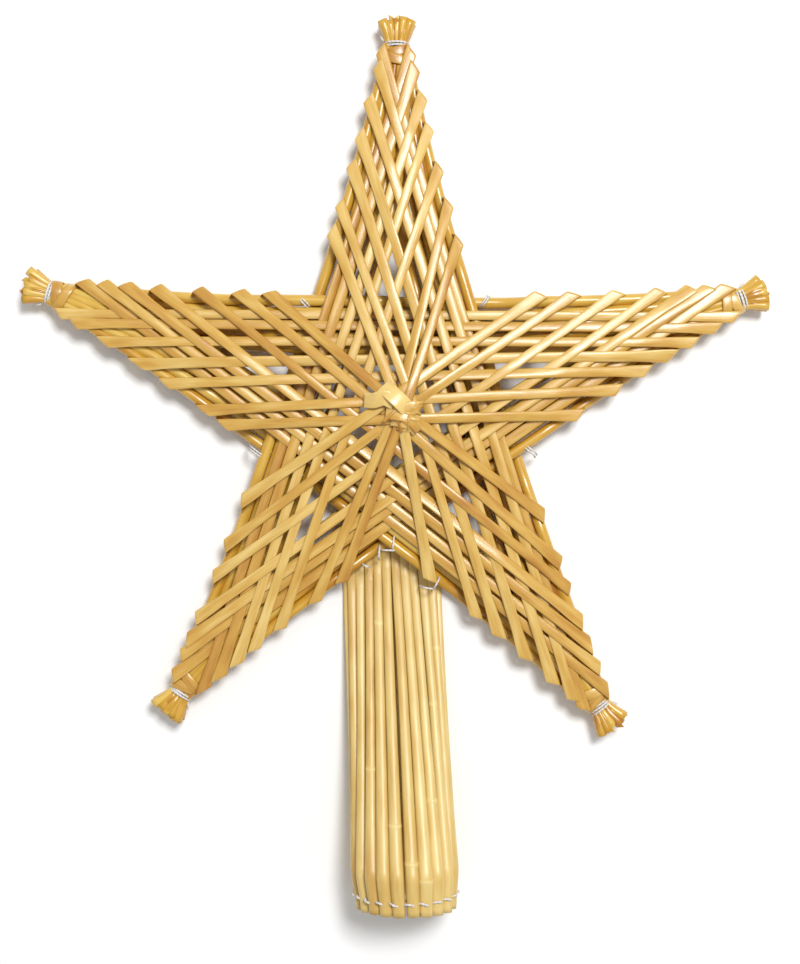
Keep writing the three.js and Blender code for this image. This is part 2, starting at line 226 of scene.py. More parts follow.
def use_tree(obj, tree, **values):
    """Adds a tree to obj as a modifier and sets its inputs, by the sockets' identifiers."""
    modifier = obj.modifiers.new(tree.name, "NODES")
    modifier.node_group = tree
    for item in tree.interface.items_tree:
        if item.item_type == "SOCKET" and item.in_out == "INPUT":
            key = item.name.lower().replace(" ", "_")
            if key in values:
                modifier[item.identifier] = values[key]
    return obj


# %% A tree that turns paths into round straws
def round_straw_tree():
    """Each path of edges becomes a tube. Point attributes: girth, its radius, and tone."""
    tree, given, result = new_tree(
        "round_straw", "GeometryNodeTree",
        [("Geometry", "NodeSocketGeometry", None), ("Sides", "NodeSocketInt", 12),
         ("Lobes", "NodeSocketFloat", 0.0), ("Twist", "NodeSocketFloat", 0.0),
         ("Caps", "NodeSocketBool", False), ("Material", "NodeSocketMaterial", None)],
        [("Geometry", "NodeSocketGeometry")])
    girth = add(tree, "GeometryNodeInputNamedAttribute", {"Name": "girth"}, data_type="FLOAT").outputs[0]
    curve = add(tree, "GeometryNodeMeshToCurve", {"Mesh": given.outputs["Geometry"]})
    spline = add(tree, "GeometryNodeSplineParameter")
    length = add(tree, "GeometryNodeStoreNamedAttribute",
                 {"Geometry": curve.outputs[0], "Name": "along", "Value": spline.outputs["Length"]},
                 data_type="FLOAT", domain="POINT")
    turn = add(tree, "ShaderNodeMath", {0: spline.outputs["Length"], 1: given.outputs["Twist"]}, operation="MULTIPLY")
    tilted = add(tree, "GeometryNodeSetCurveTilt", {"Curve": length.outputs[0], "Tilt": turn.outputs[0]})
    ring = add(tree, "GeometryNodeCurvePrimitiveCircle", {"Resolution": given.outputs["Sides"], "Radius": 1.0}, mode="RADIUS")
    place = add(tree, "GeometryNodeInputPosition")
    parts = add(tree, "ShaderNodeSeparateXYZ", {0: place.outputs[0]})
    angle = add(tree, "ShaderNodeMath", {0: parts.outputs[1], 1: parts.outputs[0]}, operation="ARCTAN2")
    double = add(tree, "ShaderNodeMath", {0: angle.outputs[0], 1: 2.0}, operation="MULTIPLY")
    wave = add(tree, "ShaderNodeMath", {0: double.outputs[0]}, operation="COSINE")
    swell = add(tree, "ShaderNodeMath", {0: wave.outputs[0], 1: given.outputs["Lobes"], 2: 1.0}, operation="MULTIPLY_ADD")
    shaped = add(tree, "ShaderNodeVectorMath", {0: place.outputs[0]}, operation="SCALE")
    tree.links.new(swell.outputs[0], shaped.inputs["Scale"])
    profile = add(tree, "GeometryNodeSetPosition", {"Geometry": ring.outputs[0], "Position": shaped.outputs[0]})
    around = add(tree, "GeometryNodeStoreNamedAttribute",
                 {"Geometry": profile.outputs[0], "Name": "around", "Value": place.outputs[0]},
                 data_type="FLOAT_VECTOR", domain="POINT")
    tube = add(tree, "GeometryNodeCurveToMesh",
               {"Curve": tilted.outputs[0], "Profile Curve": around.outputs[0], "Scale": girth,
                "Fill Caps": given.outputs["Caps"]})
    # grain = across and up in the straw's own section, and along it, all in mm
    ring_at = add(tree, "GeometryNodeInputNamedAttribute", {"Name": "around"}, data_type="FLOAT_VECTOR").outputs[0]
    along_at = add(tree, "GeometryNodeInputNamedAttribute", {"Name": "along"}, data_type="FLOAT").outputs[0]
    tone_at = add(tree, "GeometryNodeInputNamedAttribute", {"Name": "tone"}, data_type="FLOAT").outputs[0]
    sized = add(tree, "ShaderNodeVectorMath", {0: ring_at}, operation="SCALE")
    tree.links.new(girth, sized.inputs["Scale"])
    xyz = add(tree, "ShaderNodeSeparateXYZ", {0: sized.outputs[0]})
    own = add(tree, "ShaderNodeMath", {0: tone_at, 1: 0.7}, operation="MULTIPLY_ADD")
    tree.links.new(along_at, own.inputs[2])
    grain = add(tree, "ShaderNodeCombineXYZ", {0: xyz.outputs[0], 1: xyz.outputs[1], 2: own.outputs[0]})
    in_mm = add(tree, "ShaderNodeVectorMath", {0: grain.outputs[0]}, operation="SCALE")
    in_mm.inputs["Scale"].default_value = 1000.0
    stored = add(tree, "GeometryNodeStoreNamedAttribute",
                 {"Geometry": tube.outputs[0], "Name": "grain", "Value": in_mm.outputs[0]},
                 data_type="FLOAT_VECTOR", domain="POINT")
    smooth = add(tree, "GeometryNodeSetShadeSmooth", {0: stored.outputs[0]})
    real = add(tree, "GeometryNodeRealizeInstances", {0: smooth.outputs[0]})
    final = add(tree, "GeometryNodeSetMaterial", {"Geometry": real.outputs[0], "Material": given.outputs["Material"]})
    tree.links.new(final.outputs[0], result.inputs[0])
    return tree


# %% A tree that turns sheets into pressed straws
def pressed_straw_tree():
    """A sheet becomes a flattened tube. Point attributes: swell, its half thickness, 0 at the rims."""
    tree, given, result = new_tree(
        "pressed_straw", "GeometryNodeTree",
        [("Geometry", "NodeSocketGeometry", None), ("Weld", "NodeSocketFloat", 0.00001),
         ("Material", "NodeSocketMaterial", None)],
        [("Geometry", "NodeSocketGeometry")])
    swell = add(tree, "GeometryNodeInputNamedAttribute", {"Name": "swell"}, data_type="FLOAT").outputs[0]
    normal = add(tree, "GeometryNodeInputNormal")
    lift = add(tree, "ShaderNodeVectorMath", {0: normal.outputs[0]}, operation="SCALE")
    tree.links.new(swell, lift.inputs["Scale"])
    drop = add(tree, "ShaderNodeVectorMath", {0: lift.outputs[0]}, operation="SCALE")
    drop.inputs["Scale"].default_value = -1.0
    upper = add(tree, "GeometryNodeSetPosition", {"Geometry": given.outputs["Geometry"], "Offset": lift.outputs[0]})
    lower = add(tree, "GeometryNodeSetPosition", {"Geometry": given.outputs["Geometry"], "Offset": drop.outputs[0]})
    turned = add(tree, "GeometryNodeFlipFaces", {"Mesh": lower.outputs[0]})
    both = add(tree, "GeometryNodeJoinGeometry")
    tree.links.new(upper.outputs[0], both.inputs[0])
    tree.links.new(turned.outputs[0], both.inputs[0])
    welded = add(tree, "GeometryNodeMergeByDistance", {"Geometry": both.outputs[0], "Distance": given.outputs["Weld"]})
    smooth = add(tree, "GeometryNodeSetShadeSmooth", {0: welded.outputs[0]})
    real = add(tree, "GeometryNodeRealizeInstances", {0: smooth.outputs[0]})
    final = add(tree, "GeometryNodeSetMaterial", {"Geometry": real.outputs[0], "Material": given.outputs["Material"]})
    tree.links.new(final.outputs[0], result.inputs[0])
    return tree


round_straw = round_straw_tree()
pressed_straw = pressed_straw_tree()
print("trees:", round_straw.name, "and", pressed_straw.name)


# %% [markdown]
# ## The straw's finish
#
# Straw is a stem with a waxy skin. Close to, it shows fine lines along its length, each straw has its own tint between
# greenish beige and deep gold, and the skin gives a broad satin gloss. One shader group makes the colour, the roughness
# and the height of the lines. Each material puts its own tints in and keeps the Principled BSDF to itself.

# %% The shared straw group
def straw_group():
    tree, given, result = new_tree(
        "straw_skin", "ShaderNodeTree",
        [("Pale", "NodeSocketColor", (0.75, 0.55, 0.22, 1)), ("Middle", "NodeSocketColor", (0.6, 0.38, 0.1, 1)),
         ("Deep", "NodeSocketColor", (0.4, 0.2, 0.05, 1)), ("Streaks", "NodeSocketFloat", 0.5),
         ("Smoothness", "NodeSocketFloat", 0.35)],
        [("Color", "NodeSocketColor"), ("Roughness", "NodeSocketFloat"), ("Height", "NodeSocketFloat")])
    grain = add(tree, "ShaderNodeAttribute", attribute_name="grain")
    tone = add(tree, "ShaderNodeAttribute", attribute_name="tone")
    lines = add(tree, "ShaderNodeMapping", {"Vector": grain.outputs["Vector"], "Scale": (5.0, 5.0, 0.05)})
    fine = add(tree, "ShaderNodeTexNoise", {"Vector": lines.outputs[0], "Scale": 1.0, "Detail": 4.0, "Roughness": 0.6})
    patches = add(tree, "ShaderNodeMapping", {"Vector": grain.outputs["Vector"], "Scale": (0.35, 0.35, 0.07)})
    broad = add(tree, "ShaderNodeTexNoise", {"Vector": patches.outputs[0], "Scale": 1.0, "Detail": 2.0})
    # tint = the straw's own tone, moved by the broad patches and the fine lines
    moved = add(tree, "ShaderNodeMath", {0: broad.outputs["Fac"], 1: 1.1, 2: -0.55}, operation="MULTIPLY_ADD")
    lined = add(tree, "ShaderNodeMath", {0: fine.outputs["Fac"], 1: given.outputs["Streaks"]}, operation="MULTIPLY")
    centred = add(tree, "ShaderNodeMath", {0: given.outputs["Streaks"], 1: -0.5, 2: lined.outputs[0]}, operation="MULTIPLY_ADD")
    first = add(tree, "ShaderNodeMath", {0: tone.outputs["Fac"], 1: moved.outputs[0]}, operation="ADD")
    tint = add(tree, "ShaderNodeMath", {0: first.outputs[0], 1: centred.outputs[0]}, operation="ADD", use_clamp=True)
    low = add(tree, "ShaderNodeMapRange", {"Value": tint.outputs[0], "From Min": 0.0, "From Max": 0.5})
    high = add(tree, "ShaderNodeMapRange", {"Value": tint.outputs[0], "From Min": 0.5, "From Max": 1.0})
    pale = add(tree, "ShaderNodeMix", {0: low.outputs[0], 6: given.outputs["Pale"], 7: given.outputs["Middle"]}, data_type="RGBA")
    deep = add(tree, "ShaderNodeMix", {0: high.outputs[0], 6: pale.outputs[2], 7: given.outputs["Deep"]}, data_type="RGBA")
    rough = add(tree, "ShaderNodeMath", {0: fine.outputs["Fac"], 1: 0.22}, operation="MULTIPLY_ADD")
    tree.links.new(given.outputs["Smoothness"], rough.inputs[2])
    tree.links.new(deep.outputs[2], result.inputs["Color"])
    tree.links.new(rough.outputs[0], result.inputs["Roughness"])
    tree.links.new(fine.outputs["Fac"], result.inputs["Height"])
    return tree


straw_skin = straw_group()


def straw_material(name, pale, middle_, deep, streaks, smoothness, bump, coat=0.4):
    material = bpy.data.materials.new(name)
    material.use_nodes = True
    tree = material.node_tree
    surface = tree.nodes["Principled BSDF"]
    skin = add(tree, "ShaderNodeGroup", node_tree=straw_skin)
    for key, value in (("Pale", pale), ("Middle", middle_), ("Deep", deep)):
        skin.inputs[key].default_value = (*value, 1)
    skin.inputs["Streaks"].default_value = streaks
    skin.inputs["Smoothness"].default_value = smoothness
    lines = add(tree, "ShaderNodeBump", {"Strength": bump, "Distance": 0.00008, "Height": skin.outputs["Height"]})
    tree.links.new(skin.outputs["Color"], surface.inputs["Base Color"])
    tree.links.new(skin.outputs["Roughness"], surface.inputs["Roughness"])
    tree.links.new(lines.outputs[0], surface.inputs["Normal"])
    surface.inputs["IOR"].default_value = 1.5
    surface.inputs["Coat Weight"].default_value = coat
    surface.inputs["Coat Roughness"].default_value = 0.22
    return material


def rgb(r, g, b):
    """A colour as seen on a screen, 0 to 1, as linear light."""
    return tuple(c / 12.92 if c <= 0.04045 else ((c + 0.055) / 1.055) ** 2.4 for c in (r, g, b))


wound_material = straw_material(
    "wound_straw", rgb(0.90, 0.78, 0.48), rgb(0.80, 0.625, 0.28), rgb(0.68, 0.44, 0.15), 0.7, 0.14, 0.8)
# The frame's tints are a little deeper and more saturated than the wound straws': partly the round straws' own colour,
# partly painted shade for the deep gaps under the winding, where the frame shows.
frame_material = straw_material(
    "frame_straw", rgb(0.88, 0.75, 0.38), rgb(0.80, 0.61, 0.19), rgb(0.64, 0.38, 0.08), 0.5, 0.14, 0.5)
socket_material = straw_material(
    "socket_straw", rgb(0.89, 0.79, 0.52), rgb(0.83, 0.70, 0.40), rgb(0.72, 0.53, 0.23), 0.45, 0.3, 0.5, coat=0.12)
print("straw materials:", wound_material.name, frame_material.name, socket_material.name)


# %% [markdown]
# ## The woven frame
#
# Five bands of five round straws run from tip to tip and weave over and under each other, and all ten ends at a tip are
# tied into a bundle. A straw in the frame follows a plain rule, so its middle line is worked out here, and the round straw
# tree gives it its body. The tube stays open at its ends, and Solidify gives it the wall that a hollow stem has.

# %% Middle lines of the frame straws
def ease(t):
    t = np.clip(t, 0.0, 1.0)
    return t * t * (3 - 2 * t)


def fan(t):
    """How far a straw has left its bundle: 0 at a tie, 1 halfway between two ties."""
    return 1 - abs(1 - 2 * t) ** 3


def level(t):
    """1 where a band runs above the one that it crosses, -1 below: over, under, over, under."""
    down = ease((t - 0.268) / 0.082) - ease((t - 0.478) / 0.044) + ease((t - 0.65) / 0.082)
    return 1 - 2 * down


def rod_line(band, k):
    """Points and girths along one frame straw, from tuft to tuft."""
    a, b = band, (band + 2) % 5
    line = flat(tips[b] - tips[a])
    length = np.linalg.norm(line)
    along, inward = line / length, side(line / length)
    depth = ROD_RADIUS + k * ROD_PITCH + (LAST_EXTRA if k == RODS - 1 else 0) + rng.normal(0, 0.12) * MM
    slot = (k - (RODS - 1) / 2) * BOUND_PITCH
    bound = 1.45 * MM * math.sqrt(1 - (slot / BOUND_RADIUS) ** 2)
    girth = ROD_RADIUS * rng.uniform(0.93, 1.04)
    sway, phase = rng.uniform(0.05, 0.2) * MM, rng.uniform(0, 6.28)
    points, girths = [], []

    def tied(tip, sign):
        across = side(outward[tip]) * -sign
        return flat(tips[tip]) + across * slot + np.array([0, 0, frame_z + sign * bound]), across

    ends = []
    for tip, sign in ((a, 1), (b, -1)):
        knot, across = tied(tip, sign)
        reach = rng.uniform(7.2, 8.8) * MM
        loose = [knot + outward[tip] * reach * d + across * slot * (d ** 1.5) * 0.85
                 + np.array([0, 0, sign * 0.5 * MM * d]) for d in (1.0, 0.8, 0.55, 0.3, 0.12)]
        ends.append((loose, knot))
    for point, size in zip(ends[0][0], (0.95, 0.92, 0.85, 0.72, 0.62)):
        points.append(point)
        girths.append(girth * size)
    points.append(ends[0][1])
    girths.append(girth * 0.6)
    for t in np.linspace(0.012, 0.988, 90):
        f = fan(t)
        swell = min(1.0, 3 * f)
        high = (1 - swell) * bound + swell * (LAYER - 0.02 * MM)
        place = flat(tips[a]) + along * t * length + inward * ((1 - f) * slot + f * (depth + sway * math.sin(9 * t + phase)))
        place[2] = frame_z + level(t) * high
        for (_, knot), near in ((ends[0], t), (ends[1], 1 - t)):
            blend = ease(near / 0.06)
            if near < 0.06:
                place = blend * place + (1 - blend) * (knot + (place - knot) * min(1, near / 0.03))
        points.append(place)
        girths.append(girth * (0.6 + 0.4 * swell))
    points.append(ends[1][1])
    girths.append(girth * 0.6)
    for point, size in zip(ends[1][0][::-1], (0.62, 0.72, 0.85, 0.92, 0.95)):
        points.append(point)
        girths.append(girth * size)
    return np.array(points), np.array(girths)


def paths_object(name, lines):
    """Several open paths as one mesh of edges, with each path's girth and tone on its points."""
    verts, links, girth, tone = [], [], [], []
    for points, girths, tint in lines:
        first = len(verts)
        verts.extend(points)
        links.extend((first + i, first + i + 1) for i in range(len(points) - 1))
        girth.extend(girths)
        tone.extend([tint] * len(points))
    return mesh_object(name, verts, edges_=links, girth=girth, tone=tone)


def hollow(obj, wall):
    """Gives open tubes a wall, inwards."""
    shell = obj.modifiers.new("wall", "SOLIDIFY")
    shell.thickness, shell.offset, shell.use_rim = wall, -1.0, True
    return obj


rods = [[rod_line(band, k) for k in range(RODS)] for band in range(5)]
rod_points = np.concatenate([points for band in rods for points, _ in band])
rod_girths = np.concatenate([girths for band in rods for _, girths in band])

for band, lines in enumerate(rods):
    name = f"woven_band_{band + 1}"
    obj = paths_object(name, [(points, girths, rng.uniform(0.15, 0.85)) for points, girths in lines])
    use_tree(obj, round_straw, sides=14, material=frame_material)
    piece = baked(hollow(obj, 0.3 * MM), name)
    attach(piece, "root")
    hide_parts(f"frame_band_{band + 1}")
    print(name, len(piece.data.polygons), "faces")


# %% [markdown]
# ## Laying the wound straws
#
# The winder presses a straw flat, folds it over the edge of one arm, draws it tight over the face to the arm after next,
# folds it there and goes on round the back. Each straw lies on those before it and is tight between its folds, so its height
# is that of a string stretched over them. A grid keeps the height reached so far. The left and the right rim of a straw are
# stretched each on its own, so the straw also tips over where it crosses a ridge, and that is what makes the facets shine.

# %% The height grid and the stretched string
CELL = 0.4 * MM
REACH = 140 * MM
N = int(2 * REACH / CELL)
heights = np.full((N, N), face_z)


def cell(points):
    """Grid indices of points, an array of x and y in its last axis."""
    i = np.clip(np.rint((points[..., 0] - centre[0] + REACH) / CELL).astype(int), 0, N - 1)
    j = np.clip(np.rint((points[..., 1] - centre[1] + REACH) / CELL).astype(int), 0, N - 1)
    return j, i


def stretched(s, z):
    """The least curve over z that bends only downwards, at the same places s."""
    hull = [0]
    for i in range(1, len(s)):
        while len(hull) > 1:
            a, b = hull[-2], hull[-1]
            if (z[b] - z[a]) * (s[i] - s[a]) > (z[i] - z[a]) * (s[b] - s[a]):
                break
            hull.pop()
        hull.append(i)
    return np.interp(s, s[hull], z[hull])


def softened(z, reach=2):
    padded = np.concatenate([np.full(reach, z[0]), z, np.full(reach, z[-1])])
    weights = np.concatenate([np.arange(1, reach + 2), np.arange(reach, 0, -1)]).astype(float)
    return np.convolve(padded, weights / weights.sum(), mode="valid")


# %% Where a round folds over an edge
def reach_past(edge, near, far):
    """How far the frame straws stand out past an edge's line, between two distances along it."""
    rel = rod_points - edge.start
    s, out = rel @ edge.along, rel @ edge.out + rod_girths
    return float(out[(s > near) & (s < far)].max())


def fold_at(arm, turn, round_):
    edge = edges[(arm, turn)]
    places = (EDGE_CCW if turn == 1 else EDGE_CW)[arm]
    s = (places[round_] if round_ < ROUNDS else places[-1] + 8) * MM
    stand = max(0.0, reach_past(edge, s - STRIP_WIDTH, s + STRIP_WIDTH)) + STRIP_THICK / 2
    return edge.at(s, stand)


folds = {(arm, turn, r): fold_at(arm, turn, r) for arm in range(5) for turn in (1, -1) for r in range(ROUNDS + 1)}
print("folds on arm 1, mm from its tip:",
      [round(float(np.linalg.norm(folds[(0, 1, r)] - edges[(0, 1)].start)) * 1000, 1) for r in range(ROUNDS)])


# %% [markdown]
# A pressed straw is folded on a line halfway between the way it comes and the way it goes, as a paper strip is. That line
# is a little askew to the arm's edge, which gives the edge its row of small steps. The straw's columns run on over the
# fold, down the side and back under the frame, so one sheet holds the whole straw.

# %% One pressed straw as a sheet
COLUMNS = np.array([-1, -0.94, -0.76, -0.42, 0, 0.42, 0.76, 0.94, 1.0])
SECTION = np.array([0, 0.4, 0.72, 0.93, 1, 0.93, 0.72, 0.4, 0])
BACK_Z = STRIP_THICK / 2 + 0.02 * MM
BEND = 0.55 * MM
SLIMMER = 0.2                  # away from its folds a straw is rounder, so it looks narrower
SHIFT = 3.0 * MM               # how far a straw slips along the edge on its way down


class Fold:
    """A fold over an edge, between the direction of the face pass and that of the back pass."""

    def __init__(self, point, face, back, swing):
        # face points from the middle of the star towards the fold, back from the fold under the arm
        line = unit(face + back)
        turn = math.radians(swing)
        self.g = line * math.cos(turn) + side(line) * math.sin(turn)
        self.n = side(self.g)
        if self.n @ face < 0:
            self.n = -self.n
        self.point = point

    def across(self, direction, h):
        """Where the columns of a strip that runs in this direction meet the fold line, along it."""
        slope = cross2(self.g, direction)
        slope = math.copysign(max(abs(slope), 0.5), slope)
        return COLUMNS * h * cross2(side(direction), direction) / slope


def wall_rows(fold, face, z_top, h):
    """Rows from the end of the face pass over the fold and down to the back, and their lengths."""
    offsets = fold.across(face, h)
    top = fold.point + offsets[:, None] * fold.g
    lead = BEND / max(0.35, face @ fold.n)
    rows = []
    for angle in (15, 40, 65, 90):
        a = math.radians(angle)
        row = top + face * lead * (math.sin(a) - 1)
        row[:, 2] = z_top - BEND * (1 - math.cos(a))
        rows.append(row)
    low = BACK_Z + BEND * 0.7
    for t in (0.25, 0.5, 0.75, 1.0):
        row = top + fold.g * SHIFT * t - fold.n * 0.25 * MM * math.sin(math.pi * t)
        row[:, 2] = (z_top - BEND) * (1 - t) + low * t
        rows.append(row)
    bottom = top + fold.g * SHIFT
    for angle in (35, 65, 90):
        a = math.radians(angle)
        row = bottom - fold.n * BEND * 0.7 * (1 - math.cos(a))
        row[:, 2] = low - BEND * 0.7 * math.sin(a)
        rows.append(row)
    return rows


def wound_sheet(family, round_):
    """All rows of one straw, its column lengths, and the marks that it leaves on the grid."""
    arm_in, arm_out = (family + 1) % 5, (family - 1) % 5
    last = family == FAMILY_ORDER[-1]
    start, finish = folds[(arm_in, 1, round_)], folds[(arm_out, -1, round_)]
    after = folds[(arm_out, 1, round_ + 1 if last else round_)]
    before = folds[(arm_in, -1, max(round_ - 1, 0) if family == FAMILY_ORDER[0] else round_)]
    sense = unit(finish - start)
    if round_ >= ROUNDS - 2:
        pass_by = HUB_PASS[family][round_ - ROUNDS + 2] * MM
        middle_ = flat(centre) + outward[family] * pass_by + sense * (flat(HUB_AT * MM) @ sense)
    else:
        middle_ = (start + finish) / 2
    middle_[2] = 0.0
    h = STRIP_WIDTH / 2 * widths[(family, round_)]
    leg_in, leg_out = middle_ - start, finish - middle_
    first, second = np.linalg.norm(leg_in), np.linalg.norm(leg_out)
    d_in, d_out = leg_in / first, leg_out / second
    total = first + second

    near = Fold(start, -d_in, unit(before - start), swings[(arm_in, 1, round_)])
    far = Fold(finish, d_out, unit(after - finish), swings[(arm_out, -1, round_)])
    # The columns' own ends along the face pass: the fold lines cross it askew.
    q_near = (near.across(-d_in, h) * (near.g @ d_in))[::-1] + BEND / max(0.35, -d_in @ near.n)
    q_far = total + far.across(d_out, h) * (far.g @ d_out) - BEND / max(0.35, d_out @ far.n)

    bend = sways[(family, round_)]

    def plan(s, u):
        """Level place of column u at length s: two straight legs with a rounded elbow."""
        t = np.clip(s / total, 0, 1)
        w = ease((s - first) / (16 * MM) + 0.5)[:, None]
        a, b = start + s[:, None] * d_in, middle_ + (s[:, None] - first) * d_out
        mid = np.where(s[:, None] < first - 8 * MM, a, np.where(s[:, None] > first + 8 * MM, b, (1 - w) * a + w * b))
        left = (1 - w) * side(d_in) + w * side(d_out)
        slim = 1 - SLIMMER * ease((np.minimum(s, total - s) - 2 * MM) / (11 * MM))
        return mid + left * (u * h * slim + bend * np.sin(np.pi * t) * np.sin(5 * t + bend * 3e4))[:, None]

    # heights of both rims over what has been wound
    s = np.arange(0, total + 0.5 * MM, 1.0 * MM)
    s[-1] = total
    rims = []
    for lo, hi in ((-1.12, 0.1), (-0.1, 1.12)):
        under = np.max([heights[cell(plan(s, np.full_like(s, u)))] for u in np.linspace(lo, hi, 7)], axis=0)
        rims.append(under)
    base = np.maximum(rims[0], rims[1]) - 1.5 * MM
    rims = [softened(stretched(s, np.maximum(r, base)), 2) + LAY_GAP + STRIP_THICK / 2 for r in rims]

    # rows of the face pass, rolled a little about the straw's own length, which moves the shine from straw to straw
    roll, more = rolls[(family, round_)]
    count = int(total / (1.5 * MM))
    rows = []
    for v in np.linspace(0, 1, count):
        at = q_near * (1 - v) + q_far * v
        row = plan(at, COLUMNS)
        share = (COLUMNS + 1) / 2
        row[:, 2] = (1 - share) * np.interp(at, s, rims[0]) + share * np.interp(at, s, rims[1])
        row[:, 2] += COLUMNS * h * math.sin(math.pi * v) * math.tan(roll + more * math.sin(9 * v + 40 * roll))
        rows.append(row)

    fine = np.arange(0, total, 0.25 * MM)
    marks = []
    for u in np.linspace(-1, 1, 17):
        place = plan(fine, np.full_like(fine, u))
        top = (1 - u) / 2 * np.interp(fine, s, rims[0]) + (1 + u) / 2 * np.interp(fine, s, rims[1]) + STRIP_THICK / 2
        marks.append((place, top))

    z_near, z_far = rows[0][:, 2].copy(), rows[-1][:, 2].copy()
    down = wall_rows(far, d_out, z_far, h)
    up = [row[::-1] for row in wall_rows(near, -d_in, z_near[::-1], h)][::-1]
    return rows, up, down, near, far, marks


widths = {(f, r): rng.uniform(0.93, 1.06) for f in range(5) for r in range(ROUNDS)}
sways = {(f, r): rng.normal(0, 0.15) * MM for f in range(5) for r in range(ROUNDS)}
rolls = {(f, r): (rng.normal(0, 0.1), rng.uniform(0.05, 0.16)) for f in range(5) for r in range(ROUNDS)}
swings = {key: rng.normal(0, 3.5) for key in folds}
sheets = {}
for round_ in range(ROUNDS):
    for family in FAMILY_ORDER:
        sheet = wound_sheet(family, round_)
        for place, top in sheet[5]:
            np.maximum.at(heights, cell(place), top)
        sheets[(family, round_)] = sheet
print("wound", len(sheets), "straws, highest at", round(float(heights.max()) * 1000, 1), "mm")


# %% Sheets into pressed straws
WELD = 0.00001                 # rims closer than this become one, in metres
WOUND_HALF = 0.36 * MM         # half of a wound straw's thickness, where it isn't creased


def sheet_object(name, rows, tone, half_thick=STRIP_THICK / 2, ends=(1, 1), offset=0.0):
    """A grid of rows as a mesh with grain, tone and swell."""
    rows = np.array(rows)
    count, columns = rows.shape[:2]
    steps = np.linalg.norm(np.diff(rows.mean(axis=1), axis=0), axis=1)
    along = np.concatenate([[0], np.cumsum(steps)])
    swell = np.tile(SECTION, (count, 1)) * half_thick
    across = np.linalg.norm(rows[:, 0] - rows[:, -1], axis=1)
    swell *= np.clip(1.1 + 3.5 * (1 - across / np.median(across[across > 0.6 * across.max()])), 0.8, 1.6)[:, None]
    swell[0] *= 1 - ends[0]
    swell[-1] *= 1 - ends[1]
    width = np.linalg.norm(rows[:, 0] - rows[:, -1], axis=1).mean()
    grain = np.zeros((count, columns, 3))
    grain[..., 0] = COLUMNS * width * 500
    grain[..., 1] = offset
    grain[..., 2] = along[:, None] * 1000 + offset
    faces = [(i * columns + j, (i + 1) * columns + j, (i + 1) * columns + j + 1, i * columns + j + 1)
             for i in range(count - 1) for j in range(columns - 1)]
    return mesh_object(name, rows.reshape(-1, 3), faces, swell=swell.ravel(),
                       grain=grain.reshape(-1, 3), tone=np.full(count * columns, tone))


def pressed(name, rows, tone, material, half_thick, ends=(1, 1), shift=300):
    """A grid of rows as a finished pressed straw."""
    obj = sheet_object(name, rows, tone, half_thick=half_thick, ends=ends, offset=rng.uniform(0, shift))
    use_tree(obj, pressed_straw, weld=WELD, material=material)
    return baked(obj, name)


def back_rows(this, following):
    """The pass under the arm, from this straw's last row to where the next one starts."""
    first, last = this[2][-1], following[1][0]
    length = np.linalg.norm(last.mean(axis=0) - first.mean(axis=0))
    count = max(3, int(length / (3 * MM)))
    return [first * (1 - t) + last * t for t in np.linspace(0, 1, count + 1)[1:]]


order = [(family, round_) for round_ in range(ROUNDS) for family in FAMILY_ORDER]
for place, key in enumerate(order):
    rows, up, down, near, far, _ = sheets[key]
    if place + 1 < len(order):
        back = back_rows(sheets[key], sheets[order[place + 1]])
    else:
        inward = unit(folds[((key[0] - 1) % 5, 1, key[1])] - far.point)
        back = [down[-1] + inward * d * MM for d in (4, 9, 14)]
    if place == 0:
        tuck = unit(folds[((key[0] + 1) % 5, -1, 0)] - near.point)
        up = [up[0] + tuck * 4 * MM] + up
    name = f"wound_straw_{key[0] + 1}_{key[1] + 1}"
    piece = pressed(name, up + rows + down + back, rng.uniform(0.25, 0.72), wound_material, WOUND_HALF, shift=400)
    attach(piece, "root")
    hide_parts(f"wrap_straw_{key[0] + 1}_{key[1] + 1}")
wound = [o for o in bpy.data.objects if o.name.startswith("wound_straw")]
print("wound straws:", len(wound), "of", sum(len(o.data.polygons) for o in wound), "faces")


# %% [markdown]
# ## The socket
#
# Twenty-one round straws stand side by side in a ring that fits over a tree's top shoot. They run up behind the star, where
# the maker presses them flat and sews them to the frame. Each is a hollow stem with a knee here and there, a little thicker
# and paler, where a leaf once grew. A ring of points is drawn along each straw, from a round one at the mouth to a flat one.

# %% One socket straw
SOCKET = 21
RIM_Y, BELLY_Y, FLAT_Y = -163.0, -150.0, -51.0        # from the star's middle, in mm
RIM_X, END_X = 4.2, -1.0                              # it leans a little to one side
RIM_RADIUS, BELLY_RADIUS, STRAW_RADIUS = 14.4, 15.45, 2.3
FLAT_HALF, FLAT_HALF_HIGH, FLAT_PITCH = 1.5, 0.44, 3.0
RING_Z = BELLY_RADIUS + STRAW_RADIUS
TUCK = 13.0                                           # how far the flat ends go in behind the frame
SIDES = 16
SOCKET_WALL = 0.35                                    # of a hollow stem
EIGHTH = math.pi / 4


def lean(y):
    return RIM_X + (END_X - RIM_X) * (y - RIM_Y) / (FLAT_Y - RIM_Y)


def mix(a, b, t):
    return a + (b - a) * t


# Knees that show, by straw and place along the socket, in mm from the star's middle.
KNEES = {9: [-127.6], 12: [-134.6], 11: [-145.9], 10: [-151.6], 13: [-71.6], 8: [-98.0], 14: [-118.0]}


